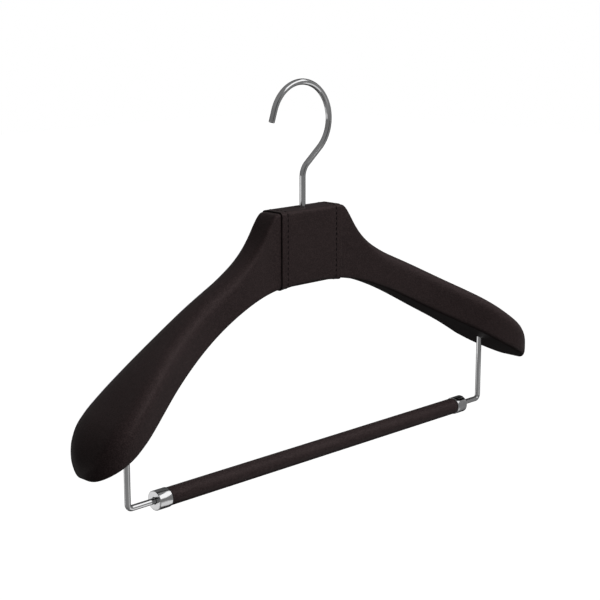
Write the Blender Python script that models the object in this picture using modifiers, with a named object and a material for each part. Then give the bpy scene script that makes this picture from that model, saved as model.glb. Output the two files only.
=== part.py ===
"""Leather-covered suit hanger with a swivelling hook and a leather-covered trouser bar.

Lengths are metres and +Z is up. The hanger's width runs along X and its shoulders sweep forward to -Y.
The origin is the underside of the hook's crown, where the hook rests on a rail.
Everything under the hook hangs from the empty hanger_frame, on the swivel axis at the neck's top.
"""

import math

import bmesh
import bpy
import numpy as np

# Clearance between pieces that touch or run on each other
GAP = 0.0003

# Hook: a round wire with a crook that ends in a straight run, a slanted back and a straight shank
HOOK_WIRE_DIAMETER = 0.0045
HOOK_CROOK_RADIUS = 0.0277
HOOK_CROOK_OFFSET = -0.0012
HOOK_BACK_LENGTH = 0.0163247
HOOK_NECK_RADIUS = 0.0127
HOOK_SHANK_LENGTH = 0.022
HOOK_TIP_ANGLE = math.radians(162)
HOOK_TIP_RUN = 0.009
HOOK_TURN = math.radians(-1.7)
HOOK_THREAD_END = 0.0015

# Outline of the leather-covered body, seen from the front
HALF_SPAN = 0.225
NECK_HALF_WIDTH = 0.0335
NECK_HEIGHT = 0.0533
NECK_DEPTH = 0.019
NECK_EDGE_ROUND = 0.0026
MID_EDGE_ROUND = 0.0105
SHOULDER_FRONT_ROUND = 0.0124
SHOULDER_BACK_ROUND = 0.027
UNDER_EDGE_ROUND = 0.0032
END_FRONT_UNDER_ROUND = 0.0079
END_BACK_UNDER_ROUND = 0.0176

# Distances along an arm, as shares of its length from the neck's side to the tip, and the drops there
TOP_SHARES = (0.0, 0.025, 0.065, 0.118, 0.201, 0.373, 0.582, 0.791, 0.922)
TOP_DROPS = (0.0, 0.0032, 0.0138, 0.0254, 0.0366, 0.0524, 0.0728, 0.0957, 0.1144)
UNDER_SHARES = (0.0, 0.138, 0.295, 0.504, 0.687, 0.843, 0.958)
UNDER_DROPS = (0.0559, 0.0624, 0.0746, 0.0953, 0.114, 0.1318, 0.144)
FRONT_SHARES = (0.0, 0.18, 0.373, 0.582, 0.791, 0.922)
FRONT_REACHES = (NECK_DEPTH / 2, 0.0122, 0.0172, 0.0297, 0.047, 0.054)
BACK_SHARES = (0.0, 0.138, 0.295, 0.504, 0.687, 0.843)
BACK_REACHES = (NECK_DEPTH / 2, 0.0093, 0.0089, 0.0073, 0.0052, 0.0045)

# Rounded shoulder end: how far back from the tip its plan, top and underside start to curve,
# and the share of its height at which it closes
END_PLAN_LENGTH = 0.0298
END_TOP_LENGTH = 0.0197
END_UNDER_LENGTH = 0.0067
END_LEVEL_SHARE = 0.2
END_POWER = 2.07
END_UNDER_POWER = 3.36

# Leather skins
COVER_THICKNESS = 0.0012
COVER_EDGE = 0.010
BAND_HALF_WIDTH = 0.031
BAND_THICKNESS = 0.0008

# Stitching thread, sunk in a groove near each edge of the neck band
STITCH_INSET = 0.0058
THREAD_WIDTH = 0.0007
THREAD_THICKNESS = 0.0004
GROOVE_DEPTH = 0.0004

# Hook seat in the neck
BUSH_RADIUS = 0.004
BUSH_FLANGE_RADIUS = 0.0052
BUSH_FLANGE_THICKNESS = 0.0009
BUSH_LENGTH = 0.022
WASHER_RADIUS = 0.0052
WASHER_THICKNESS = 0.001
NUT_ACROSS_FLATS = 0.008
NUT_THICKNESS = 0.004
POCKET_RADIUS = 0.0058

# Loose tongues that join the two arm cores at the neck
TONGUE_LENGTH = 0.030
TONGUE_DEPTH = 0.0125
TONGUE_THICKNESS = 0.003
TONGUE_DROPS = (0.0075, 0.0165)

# Bracket wires that carry the trouser bar
BRACKET_WIRE_DIAMETER = 0.0042
BRACKET_INSET = 0.0394
BRACKET_FORWARD = 0.0012
BRACKET_SEAT = 0.016
BRACKET_BEND_RADIUS = 0.0034
BRACKET_LEG = 0.052

# Trouser bar
BAR_DROP = 0.1784
BAR_SIDE_GAP = 0.0224
BAR_TUBE_DIAMETER = 0.0102
BAR_TUBE_WALL = 0.0008
BAR_COVER_THICKNESS = 0.001
FERRULE_DIAMETER = 0.0138
FERRULE_LENGTH = 0.011
FERRULE_END_WALL = 0.0015
FERRULE_EDGE = 0.0005
BUSHING_LENGTH = 0.018
BUSHING_FLANGE_THICKNESS = 0.0012

# Fineness of the faceted surfaces
ROUND_STEPS = 32
SMALL_ROUND_STEPS = 24
WIRE_BEVEL = 3
CORNER_STEPS = (0.0, 0.2, 0.5, 0.8, 1.0)
LEAST_ROUND = 0.0005
LAST_TURN = math.radians(87)

# Sizes that follow from the ones above
HOOK_WIRE_RADIUS = HOOK_WIRE_DIAMETER / 2
BRACKET_WIRE_RADIUS = BRACKET_WIRE_DIAMETER / 2
HOOK_BENDS_APART = math.hypot(HOOK_CROOK_RADIUS + HOOK_NECK_RADIUS, HOOK_BACK_LENGTH)
HOOK_BACK_RISE = math.sqrt(HOOK_BENDS_APART**2 - (HOOK_NECK_RADIUS - HOOK_CROOK_OFFSET) ** 2)
HOOK_CROOK_HEIGHT = HOOK_SHANK_LENGTH + HOOK_BACK_RISE
BAND_TOP = -(HOOK_CROOK_HEIGHT + HOOK_CROOK_RADIUS - HOOK_WIRE_RADIUS)
BAND_PROUD = GAP + BAND_THICKNESS
NECK_TOP = BAND_TOP - BAND_PROUD
CORE_INSET = COVER_THICKNESS + GAP
ARM_LENGTH = HALF_SPAN - NECK_HALF_WIDTH
BRACKET_X = HALF_SPAN - BRACKET_INSET
BAR_HALF_LENGTH = BRACKET_X - BAR_SIDE_GAP
STITCH_X = BAND_HALF_WIDTH - STITCH_INSET
SIDES = {"left": -1, "right": 1}


def clear_scene():
    for item in list(bpy.data.objects):
        bpy.data.objects.remove(item, do_unlink=True)


def new_collection(name):
    collection = bpy.data.collections.new(name)
    bpy.context.scene.collection.children.link(collection)
    return collection


def surface_material(name, colour, roughness, metallic):
    material = bpy.data.materials.new(name)
    material.use_nodes = True
    shader = material.node_tree.nodes["Principled BSDF"]
    shader.inputs["Base Color"].default_value = (*colour, 1.0)
    shader.inputs["Roughness"].default_value = roughness
    shader.inputs["Metallic"].default_value = metallic
    return material


def add_empty(name, collection, location, parent=None):
    empty = bpy.data.objects.new(name, None)
    collection.objects.link(empty)
    empty.location = location
    empty.parent = parent
    return empty


def add_part(name, mesh, collection, parent, material):
    part = bpy.data.objects.new(name, mesh)
    collection.objects.link(part)
    part.parent = parent
    part.data.materials.append(material)
    return part


def smooth_shade(mesh, angle=math.radians(35)):
    mesh.shade_smooth()
    mesh.set_sharp_from_angle(angle=angle)


def smooth_through(stations, values):
    """A cubic curve through the values, level up to the first station and free at the last."""
    stations = np.array(stations)
    values = np.array(values)
    steps = np.diff(stations)
    rises = np.diff(values) / steps
    count = len(stations)
    matrix = np.zeros((count, count))
    right = np.zeros(count)
    matrix[0, 0] = 2 * steps[0]
    matrix[0, 1] = steps[0]
    right[0] = 6 * rises[0]
    matrix[-1, -1] = 1
    for i in range(1, count - 1):
        matrix[i, i - 1] = steps[i - 1]
        matrix[i, i] = 2 * (steps[i - 1] + steps[i])
        matrix[i, i + 1] = steps[i]
        right[i] = 6 * (rises[i] - rises[i - 1])
    bends = np.linalg.solve(matrix, right)

    def value_at(place):
        place = max(place, stations[0])
        i = int(np.clip(np.searchsorted(stations, place) - 1, 0, count - 2))
        before = place - stations[i]
        after = stations[i + 1] - place
        step = steps[i]
        curved = (bends[i] * after**3 + bends[i + 1] * before**3) / (6 * step)
        left = (values[i] / step - bends[i] * step / 6) * after
        return curved + left + (values[i + 1] / step - bends[i + 1] * step / 6) * before

    return value_at


def rounded_quad(corners, rounds):
    """Points round a four-cornered section whose corners are rounded by the given lengths."""
    points = []
    for i, corner in enumerate(corners):
        to_last = corners[i - 1] - corner
        to_next = corners[(i + 1) % 4] - corner
        length_last = np.linalg.norm(to_last)
        length_next = np.linalg.norm(to_next)
        start = corner + to_last / length_last * min(rounds[i], 0.48 * length_last)
        end = corner + to_next / length_next * min(rounds[i], 0.48 * length_next)
        for t in CORNER_STEPS:
            points.append((1 - t) ** 2 * start + 2 * t * (1 - t) * corner + t * t * end)
    return np.array(points)


class Skin:
    """The leather body's outer surface, by its sections across X in the neck's frame."""

    def __init__(self):
        self.top = smooth_through(TOP_SHARES, TOP_DROPS)
        self.front = smooth_through(FRONT_SHARES, FRONT_REACHES)
        self.back = smooth_through(BACK_SHARES, BACK_REACHES)
        neck_share = -NECK_HALF_WIDTH / ARM_LENGTH
        self.under = smooth_through((neck_share, *UNDER_SHARES), (NECK_HEIGHT, *UNDER_DROPS))

    def edge_round(self, x, shoulder_round, inset):
        """How far a top edge is rounded at x, growing from the neck to the shoulder."""
        places = (NECK_HALF_WIDTH, NECK_HALF_WIDTH + 0.25 * ARM_LENGTH, BRACKET_X)
        rounding = np.interp(x, places, (NECK_EDGE_ROUND, MID_EDGE_ROUND, shoulder_round))
        return max(rounding - inset, LEAST_ROUND)

    def under_round(self, x, end_round, inset):
        """How far a bottom edge is rounded at x, growing from the bracket to the tip."""
        rounding = np.interp(x, (BRACKET_X, HALF_SPAN), (UNDER_EDGE_ROUND, end_round))
        return max(rounding - inset, LEAST_ROUND)

    def middle(self, x):
        share = (x - NECK_HALF_WIDTH) / ARM_LENGTH
        return (self.back(share) - self.front(share)) / 2

    def underside(self, x):
        return -self.under((x - NECK_HALF_WIDTH) / ARM_LENGTH)

    def section(self, x, inset=0.0):
        """Points (y, z) round the section at x, moved inwards by the inset."""
        share = (x - NECK_HALF_WIDTH) / ARM_LENGTH
        top = -self.top(share) - inset * slant(self.top, share)
        under = self.underside(x) + inset * slant(self.under, share)
        front = -self.front(share) + inset * slant(self.front, share)
        back = self.back(share) - inset * slant(self.back, share)
        corners = [np.array(c) for c in ((front, under), (front, top), (back, top), (back, under))]
        front_round = self.edge_round(x, SHOULDER_FRONT_ROUND, inset)
        back_round = self.edge_round(x, SHOULDER_BACK_ROUND, inset)
        low_front = self.under_round(x, END_FRONT_UNDER_ROUND, inset)
        low_back = self.under_round(x, END_BACK_UNDER_ROUND, inset)
        points = rounded_quad(corners, (low_front, front_round, back_round, low_back))
        middle = (front + back) / 2
        level = under + END_LEVEL_SHARE * (top - under)
        heights = points[:, 1] - level
        top_factor = end_factor(x, inset, END_TOP_LENGTH)
        under_factor = end_factor(x, inset, END_UNDER_LENGTH, END_UNDER_POWER)
        points[:, 0] = middle + (points[:, 0] - middle) * end_factor(x, inset, END_PLAN_LENGTH)
        points[:, 1] = level + heights * np.where(heights > 0, top_factor, under_factor)
        return points


def slant(curve, share):
    """How much longer a curve is than its run along X, which keeps an inset's thickness even."""
    step = 0.001
    rise = (curve(share + step) - curve(share - step)) / (2 * step * ARM_LENGTH)
    return math.sqrt(1 + rise * rise)


def end_factor(x, inset, length, power=END_POWER):
    """One along the arm, falling to nothing at the tip on a rounded curve."""
    share = np.clip((x - (HALF_SPAN - length)) / (length - inset), 0, 1)
    return max(1 - share**power, 0) ** (1 / power)


def arm_stations(start, inset):
    """Places along an arm, close together at the neck's flare and at the rounded end."""
    flare_end = NECK_HALF_WIDTH + 0.2 * ARM_LENGTH
    end_start = HALF_SPAN - END_PLAN_LENGTH
    neck = np.linspace(start, NECK_HALF_WIDTH, 3)
    flare = np.linspace(NECK_HALF_WIDTH, flare_end, 8)[1:]
    arm = np.linspace(flare_end, end_start, 9)[1:]
    turns = np.linspace(0, LAST_TURN, 8)[1:]
    end = end_start + (END_PLAN_LENGTH - inset) * np.sin(turns)
    return np.concatenate([neck, flare, arm, end])


def skin_rings(skin, stations, inset):
    """Rings of points on the leather body's surface, moved inwards by the inset."""
    return [np.array([(x, y, z) for y, z in skin.section(abs(x), inset)]) for x in stations]


def arm_rings(skin, start, inset):
    return skin_rings(skin, arm_stations(start, inset), inset)


def ring_faces(first, second, count):
    """Quads between two rings of vertex numbers."""
    return [
        (first + i, first + (i + 1) % count, second + (i + 1) % count, second + i)
        for i in range(count)
    ]


def mesh_from_rings(name, rings, closed_chain=False, mirrored=False):
    """A mesh through rings of points, capped at both ends or closed on itself."""
    count = len(rings[0])
    faces = []
    for i in range(len(rings) - 1):
        faces += ring_faces(i * count, (i + 1) * count, count)
    last = (len(rings) - 1) * count
    if closed_chain:
        faces += ring_faces(last, 0, count)
    else:
        faces.append(tuple(reversed(range(count))))
        faces.append(tuple(range(last, last + count)))
    points = np.concatenate(rings)
    if mirrored:
        points = points * (-1, 1, 1)
    else:
        faces = [tuple(reversed(face)) for face in faces]
    mesh = bpy.data.meshes.new(name)
    mesh.from_pydata([tuple(map(float, point)) for point in points], [], faces)
    smooth_shade(mesh)
    return mesh


def turned_mesh_part(name, profile, collection, parent, material, steps=ROUND_STEPS, along_x=False):
    """A turned piece: a closed profile of (radius, height) points, swept round its own Z axis."""
    mesh = bpy.data.meshes.new(name)
    points = [(radius, 0.0, height) for radius, height in profile]
    edges = [(i, (i + 1) % len(points)) for i in range(len(points))]
    mesh.from_pydata(points, edges, [])
    part = add_part(name, mesh, collection, parent, material)
    screw = part.modifiers.new("turn", "SCREW")
    screw.axis = "Z"
    screw.steps = steps
    screw.render_steps = steps
    screw.use_merge_vertices = True
    screw.merge_threshold = 0.00001
    screw.use_smooth_shade = True
    if along_x:
        part.rotation_euler = (0, math.pi / 2, 0)
    return part


def tube_profile(inner, outer, low, high):
    """Profile of a plain tube, its outer side from top to bottom first."""
    return [(outer, high), (outer, low), (inner, low), (inner, high)]


def wire_part(name, points, radius, collection, parent, material):
    """A round wire along the points."""
    curve = bpy.data.curves.new(name, "CURVE")
    curve.dimensions = "3D"
    curve.bevel_depth = radius
    curve.bevel_resolution = WIRE_BEVEL
    curve.use_fill_caps = True
    spline = curve.splines.new("POLY")
    spline.points.add(len(points) - 1)
    for point, place in zip(spline.points, points):
        point.co = (*place, 1.0)
    spline.use_smooth = True
    part = bpy.data.objects.new(name, curve)
    collection.objects.link(part)
    part.parent = parent
    curve.materials.append(material)
    return part


def hide_cutter(cutter):
    cutter.hide_render = True
    cutter.display_type = "WIRE"
    return cutter


def cylinder_cutter(name, radius, low, high, x, y, cutters, parent):
    """An upright cylinder that cuts a hole from low to high."""
    mesh = bpy.data.meshes.new(name)
    work = bmesh.new()
    bmesh.ops.create_cone(
        work,
        cap_ends=True,
        segments=SMALL_ROUND_STEPS,
        radius1=radius,
        radius2=radius,
        depth=high - low,
    )
    work.to_mesh(mesh)
    work.free()
    cutter = bpy.data.objects.new(name, mesh)
    cutters.objects.link(cutter)
    cutter.parent = parent
    cutter.location = (x, y, (low + high) / 2)
    return hide_cutter(cutter)


def box_mesh(name, size):
    mesh = bpy.data.meshes.new(name)
    work = bmesh.new()
    bmesh.ops.create_cube(work, size=1.0)
    bmesh.ops.scale(work, vec=size, verts=work.verts)
    work.to_mesh(mesh)
    work.free()
    return mesh


def cut(part, cutter):
    boolean = part.modifiers.new(cutter.name, "BOOLEAN")
    boolean.operation = "DIFFERENCE"
    boolean.solver = "EXACT"
    boolean.object = cutter


def arc_points(centre, radius, start, end, step=math.radians(10)):
    """Points (x, z) along an arc, the first one left out."""
    count = max(2, math.ceil(abs(end - start) / step))
    angles = np.linspace(start, end, count + 1)[1:]
    return [(centre[0] + radius * math.cos(a), centre[1] + radius * math.sin(a)) for a in angles]


def hook_line():
    """Centre line of the hook above the neck band's top, as (x, z) points from the shank up."""
    crook = np.array((HOOK_CROOK_OFFSET, HOOK_CROOK_HEIGHT))
    bend = np.array((HOOK_NECK_RADIUS, HOOK_SHANK_LENGTH))
    between = crook - bend
    heading = math.atan2(between[1], between[0])
    lean = heading + math.atan2(HOOK_BACK_LENGTH, HOOK_NECK_RADIUS + HOOK_CROOK_RADIUS)
    line = [(0.0, 0.0), (0.0, HOOK_SHANK_LENGTH / 2), (0.0, HOOK_SHANK_LENGTH)]
    line += arc_points(bend, HOOK_NECK_RADIUS, math.pi, lean)
    crook_start = lean - math.pi
    joining = crook + HOOK_CROOK_RADIUS * np.array((math.cos(crook_start), math.sin(crook_start)))
    line += [tuple((np.array(line[-1]) + joining) / 2), tuple(joining)]
    line += arc_points(crook, HOOK_CROOK_RADIUS, crook_start, HOOK_TIP_ANGLE)
    onwards = np.array((-math.sin(HOOK_TIP_ANGLE), math.cos(HOOK_TIP_ANGLE)))
    line.append(tuple(np.array(line[-1]) + HOOK_TIP_RUN * onwards))
    return line


def shank_bottom():
    """Height of the hook's threaded end, in the neck's frame."""
    return nut_top() - NUT_THICKNESS - HOOK_THREAD_END


def flange_bottom():
    return -CORE_INSET + GAP


def pocket_roof():
    return flange_bottom() - GAP - BUSH_LENGTH


def washer_top():
    return pocket_roof() - GAP


def nut_top():
    return washer_top() - WASHER_THICKNESS - GAP


def make_hook(parts, material):
    """The hook's wire, turned a little on its axis as it hangs, and its nut."""
    line = [(0.0, shank_bottom() - BAND_PROUD)] + hook_line()
    points = [(x, 0.0, z) for x, z in line]
    hook = wire_part("hook_wire", points, HOOK_WIRE_RADIUS, parts, None, material)
    hook.location = (0, 0, BAND_TOP)
    hook.rotation_euler = (0, 0, HOOK_TURN)


def make_hook_nut(parts, cutters, material):
    """The nut on the hook's threaded end, which turns with the hook."""
    mesh = bpy.data.meshes.new("hook_nut")
    work = bmesh.new()
    corner = NUT_ACROSS_FLATS / math.sqrt(3)
    bmesh.ops.create_cone(
        work, cap_ends=True, segments=6, radius1=corner, radius2=corner, depth=NUT_THICKNESS
    )
    work.to_mesh(mesh)
    work.free()
    nut = add_part("hook_nut", mesh, parts, None, material)
    nut.location = (0, 0, NECK_TOP + nut_top() - NUT_THICKNESS / 2)
    bore = HOOK_WIRE_RADIUS + GAP
    cut(nut, cylinder_cutter("nut_bore", bore, -NUT_THICKNESS, NUT_THICKNESS, 0, 0, cutters, nut))


def make_hook_seat(parts, frame, brass, steel):
    """The flanged bush that the shank turns in, and the washer under the cores."""
    bore = HOOK_WIRE_RADIUS + GAP
    flange_low = flange_bottom()
    flange_high = flange_low + BUSH_FLANGE_THICKNESS
    low = pocket_roof()
    profile = [
        (BUSH_FLANGE_RADIUS, flange_high),
        (BUSH_FLANGE_RADIUS, flange_low),
        (BUSH_RADIUS, flange_low),
        (BUSH_RADIUS, low),
        (bore, low),
        (bore, flange_high),
    ]
    turned_mesh_part("hook_bush", profile, parts, frame, brass, SMALL_ROUND_STEPS)
    profile = tube_profile(bore, WASHER_RADIUS, washer_top() - WASHER_THICKNESS, washer_top())
    turned_mesh_part("hook_washer", profile, parts, frame, steel, SMALL_ROUND_STEPS)


def make_tongues(parts, cutters, frame, material):
    """Plywood tongues across the joint of the cores, with the bush passing through, and their slots."""
    slots = []
    for label, drop in zip(("upper", "lower"), TONGUE_DROPS):
        size = (TONGUE_LENGTH, TONGUE_DEPTH, TONGUE_THICKNESS)
        tongue = add_part(f"core_tongue_{label}", box_mesh("tongue", size), parts, frame, material)
        tongue.location = (0, 0, -CORE_INSET - drop)
        low = -CORE_INSET - drop - TONGUE_THICKNESS
        high = -CORE_INSET - drop + TONGUE_THICKNESS
        hole = BUSH_RADIUS + GAP
        cut(tongue, cylinder_cutter(f"tongue_hole_{label}", hole, low, high, 0, 0, cutters, frame))
        slot_size = tuple(length + 2 * GAP for length in size)
        slot = bpy.data.objects.new(f"tongue_slot_{label}", box_mesh("slot", slot_size))
        cutters.objects.link(slot)
        slot.parent = frame
        slot.location = tongue.location
        slots.append(hide_cutter(slot))
    return slots


def make_hook_cutters(cutters, frame):
    """The bush's bore and the nut's pocket, open at the underside of the neck."""
    roof = pocket_roof()
    overrun = 0.005
    bore = cylinder_cutter("bush_bore", BUSH_RADIUS + GAP, roof - overrun, overrun, 0, 0, cutters, frame)
    floor = -NECK_HEIGHT - overrun
    pocket = cylinder_cutter("nut_pocket", POCKET_RADIUS, floor, roof, 0, 0, cutters, frame)
    return [bore, pocket]


def make_arm(side, skin, parts, cutters, frame, centre_cutters, wood, leather):
    """One arm's beech core and the leather cover drawn over it."""
    sign = SIDES[side]
    mirrored = sign < 0
    core_rings = arm_rings(skin, GAP / 2, CORE_INSET)
    core = mesh_from_rings(f"core_{side}", core_rings, mirrored=mirrored)
    core = add_part(f"core_{side}", core, parts, frame, wood)
    rings = arm_rings(skin, COVER_EDGE, COVER_THICKNESS)[::-1] + arm_rings(skin, COVER_EDGE, 0.0)
    cover = mesh_from_rings(f"cover_{side}", rings, mirrored=mirrored)
    cover = add_part(f"cover_{side}", cover, parts, frame, leather)
    seat = skin.underside(BRACKET_X)
    hole = cylinder_cutter(
        f"bracket_hole_{side}",
        BRACKET_WIRE_RADIUS + GAP,
        seat - 2 * COVER_THICKNESS,
        seat + BRACKET_SEAT + GAP,
        sign * BRACKET_X,
        bracket_y(skin),
        cutters,
        frame,
    )
    for cutter in centre_cutters:
        cut(core, cutter)
    cut(core, hole)
    cut(cover, hole)


def bracket_y(skin):
    return skin.middle(BRACKET_X) - BRACKET_FORWARD


def band_stations():
    """Places across the neck band, with a step down and up at each thread's groove."""
    groove_half = THREAD_WIDTH / 2 + GAP
    step = 0.0001
    half = [
        (STITCH_X - groove_half - step, 0.0),
        (STITCH_X - groove_half, GROOVE_DEPTH),
        (STITCH_X + groove_half, GROOVE_DEPTH),
        (STITCH_X + groove_half + step, 0.0),
        (BAND_HALF_WIDTH, 0.0),
    ]
    middle = [(x, 0.0) for x in np.linspace(0, STITCH_X / 2, 2)]
    right = middle + half
    return [(-x, depth) for x, depth in reversed(right[1:])] + right


def make_band(skin, parts, cutters, frame, leather):
    """The leather band round the neck, with a groove for each line of stitching."""
    stations = band_stations()
    places = [x for x, depth in stations]
    inner = skin_rings(skin, places, -GAP)
    outer = [skin_rings(skin, [x], depth - BAND_PROUD)[0] for x, depth in stations]
    mesh = mesh_from_rings("neck_band", inner[::-1] + outer, closed_chain=True)
    band = add_part("neck_band", mesh, parts, frame, leather)
    hole = HOOK_WIRE_RADIUS + GAP
    low = -BAND_PROUD
    high = 2 * BAND_PROUD
    cut(band, cylinder_cutter("band_hole", hole, low, high, 0, 0, cutters, frame))


def make_threads(skin, parts, frame, material):
    """The stitching of the neck band, as one flat thread in each groove."""
    low = GROOVE_DEPTH - BAND_PROUD - GAP
    high = low - THREAD_THICKNESS
    for side, sign in SIDES.items():
        near = STITCH_X - THREAD_WIDTH / 2
        far = STITCH_X + THREAD_WIDTH / 2
        corners = ((near, low), (near, high), (far, high), (far, low))
        rings = [skin_rings(skin, [x], inset)[0] for x, inset in corners]
        name = f"band_thread_{side}"
        mesh = mesh_from_rings(name, rings, closed_chain=True, mirrored=sign < 0)
        add_part(name, mesh, parts, frame, material)


def make_bracket_wire(side, skin, parts, frame, material):
    """A wire that drops from the shoulder, bends inwards and runs along the bar's axis."""
    sign = SIDES[side]
    y = bracket_y(skin)
    top = skin.underside(BRACKET_X) + BRACKET_SEAT
    centre = (BRACKET_X - BRACKET_BEND_RADIUS, -BAR_DROP + BRACKET_BEND_RADIUS)
    bend = arc_points(centre, BRACKET_BEND_RADIUS, 0, -math.pi / 2, math.radians(15))
    line = [(BRACKET_X, top), (BRACKET_X, centre[1])] + bend + [(BRACKET_X - BRACKET_LEG, -BAR_DROP)]
    points = [(sign * x, y, z) for x, z in line]
    wire_part(f"bracket_wire_{side}", points, BRACKET_WIRE_RADIUS, parts, frame, material)


def make_bar(parts, axis, steel, chrome, leather, nylon):
    """The trouser bar: a steel tube in leather, with a ferrule and a bushing at each end."""
    tube_radius = BAR_TUBE_DIAMETER / 2
    tube_inner = tube_radius - BAR_TUBE_WALL
    tube_half = BAR_HALF_LENGTH - FERRULE_END_WALL - BUSHING_FLANGE_THICKNESS - 2 * GAP
    profile = tube_profile(tube_inner, tube_radius, -tube_half, tube_half)
    turned_mesh_part("bar_tube", profile, parts, axis, steel, along_x=True)
    cover_half = BAR_HALF_LENGTH - FERRULE_LENGTH - GAP
    cover_inner = tube_radius + GAP
    profile = tube_profile(cover_inner, cover_inner + BAR_COVER_THICKNESS, -cover_half, cover_half)
    turned_mesh_part("bar_cover", profile, parts, axis, leather, along_x=True)
    for side in SIDES:
        make_ferrule(side, parts, axis, chrome, tube_radius + GAP)
        make_bushing(side, parts, axis, nylon, tube_inner - GAP, tube_half)


def sided(profile, side):
    """The profile as it is for the right end, and turned end for end for the left one."""
    if side == "right":
        return profile
    return [(radius, -height) for radius, height in reversed(profile)]


def make_ferrule(side, parts, axis, material, bore):
    """A turned end cap that slides over the tube's end, with a hole for the bracket wire."""
    outer = FERRULE_DIAMETER / 2
    end = BAR_HALF_LENGTH
    wall = end - FERRULE_END_WALL
    low = end - FERRULE_LENGTH
    hole = BRACKET_WIRE_RADIUS + GAP
    profile = [
        (outer - FERRULE_EDGE, end),
        (outer, end - FERRULE_EDGE),
        (outer, low + FERRULE_EDGE),
        (outer - FERRULE_EDGE, low),
        (bore, low),
        (bore, wall),
        (hole, wall),
        (hole, end),
    ]
    turned_mesh_part(f"bar_ferrule_{side}", sided(profile, side), parts, axis, material, along_x=True)


def make_bushing(side, parts, axis, material, outer, tube_half):
    """A flanged bushing in the tube's end that runs on the bracket wire."""
    bore = BRACKET_WIRE_RADIUS + GAP
    flange = BAR_TUBE_DIAMETER / 2 - GAP
    flange_low = tube_half + GAP
    flange_high = flange_low + BUSHING_FLANGE_THICKNESS
    low = flange_low - BUSHING_LENGTH
    profile = [
        (flange, flange_high),
        (flange, flange_low),
        (outer, flange_low),
        (outer, low),
        (bore, low),
        (bore, flange_high),
    ]
    name = f"bar_bush_{side}"
    turned_mesh_part(name, sided(profile, side), parts, axis, material, SMALL_ROUND_STEPS, True)


def main():
    clear_scene()
    parts = new_collection("suit_hanger")
    cutters = new_collection("cutters")
    leather = surface_material("leather", (0.022, 0.017, 0.016), 0.55, 0.0)
    bar_leather = surface_material("bar_leather", (0.022, 0.017, 0.016), 0.55, 0.0)
    band_leather = surface_material("band_leather", (0.022, 0.017, 0.016), 0.55, 0.0)
    thread = surface_material("thread", (0.012, 0.010, 0.010), 0.8, 0.0)
    chrome = surface_material("chrome", (0.62, 0.62, 0.63), 0.15, 1.0)
    steel = surface_material("steel", (0.45, 0.45, 0.46), 0.35, 1.0)
    brass = surface_material("brass", (0.60, 0.44, 0.18), 0.3, 1.0)
    beech = surface_material("beech", (0.52, 0.34, 0.20), 0.6, 0.0)
    plywood = surface_material("plywood", (0.60, 0.43, 0.27), 0.7, 0.0)
    nylon = surface_material("nylon", (0.03, 0.03, 0.03), 0.5, 0.0)
    frame = add_empty("hanger_frame", parts, (0, 0, NECK_TOP))
    skin = Skin()
    axis = add_empty("bar_axis", parts, (0, bracket_y(skin), -BAR_DROP), frame)
    make_hook(parts, chrome)
    make_hook_nut(parts, cutters, steel)
    make_hook_seat(parts, frame, brass, steel)
    centre_cutters = make_hook_cutters(cutters, frame)
    centre_cutters += make_tongues(parts, cutters, frame, plywood)
    for side in SIDES:
        make_arm(side, skin, parts, cutters, frame, centre_cutters, beech, leather)
        make_bracket_wire(side, skin, parts, frame, chrome)
    make_band(skin, parts, cutters, frame, band_leather)
    make_threads(skin, parts, frame, thread)
    make_bar(parts, axis, steel, chrome, bar_leather, nylon)


main()
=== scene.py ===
"""Looks of the leather-covered suit hanger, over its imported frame.

Lengths are metres, +Z is up, the front is -Y and the origin is the underside of the hook's crown.
The body, the hook, the wires and the bar repeat the CAD source's own sizes, so each finer piece lies
where its solid lies.
"""

import math

import bmesh
import bpy
import numpy as np
from mathutils import Matrix, Vector


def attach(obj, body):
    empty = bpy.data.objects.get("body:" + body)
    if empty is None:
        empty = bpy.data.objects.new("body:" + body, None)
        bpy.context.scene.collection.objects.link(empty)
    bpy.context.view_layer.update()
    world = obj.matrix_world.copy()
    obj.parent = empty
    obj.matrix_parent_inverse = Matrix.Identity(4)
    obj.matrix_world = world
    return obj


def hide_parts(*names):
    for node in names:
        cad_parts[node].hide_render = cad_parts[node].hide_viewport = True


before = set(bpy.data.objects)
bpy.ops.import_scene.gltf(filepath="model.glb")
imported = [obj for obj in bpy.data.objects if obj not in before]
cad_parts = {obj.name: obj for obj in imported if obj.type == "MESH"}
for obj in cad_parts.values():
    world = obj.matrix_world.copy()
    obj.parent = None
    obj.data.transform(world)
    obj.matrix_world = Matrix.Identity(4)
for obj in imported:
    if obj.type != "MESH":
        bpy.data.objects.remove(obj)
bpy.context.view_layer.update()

# Camera, fitted to the photograph
CAMERA_PLACE = (-0.7297, -0.7286, 0.0661)
CAMERA_AZIMUTH = math.radians(-44.94)
CAMERA_ELEVATION = math.radians(12.31)
CAMERA_LENS_MM = 85
CAMERA_SENSOR_MM = 36
CAMERA_NEAR = 0.05
CAMERA_FAR = 100.0

# Clearance between pieces, as in the CAD
GAP = 0.0003

# Hook
HOOK_WIRE_RADIUS = 0.00225
HOOK_CROOK_RADIUS = 0.0277
HOOK_CROOK_OFFSET = -0.0012
HOOK_BACK_LENGTH = 0.0163247
HOOK_NECK_RADIUS = 0.0127
HOOK_SHANK_LENGTH = 0.022
HOOK_TIP_ANGLE = math.radians(162)
HOOK_TIP_START = 0.002
HOOK_TIP_RUN = 0.009
HOOK_END_EDGE = 0.0006
HOOK_TURN = math.radians(-1.7)
HOOK_THREAD_END = 0.0015
BUSH_LENGTH = 0.022
WASHER_THICKNESS = 0.001
NUT_THICKNESS = 0.004

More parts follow.
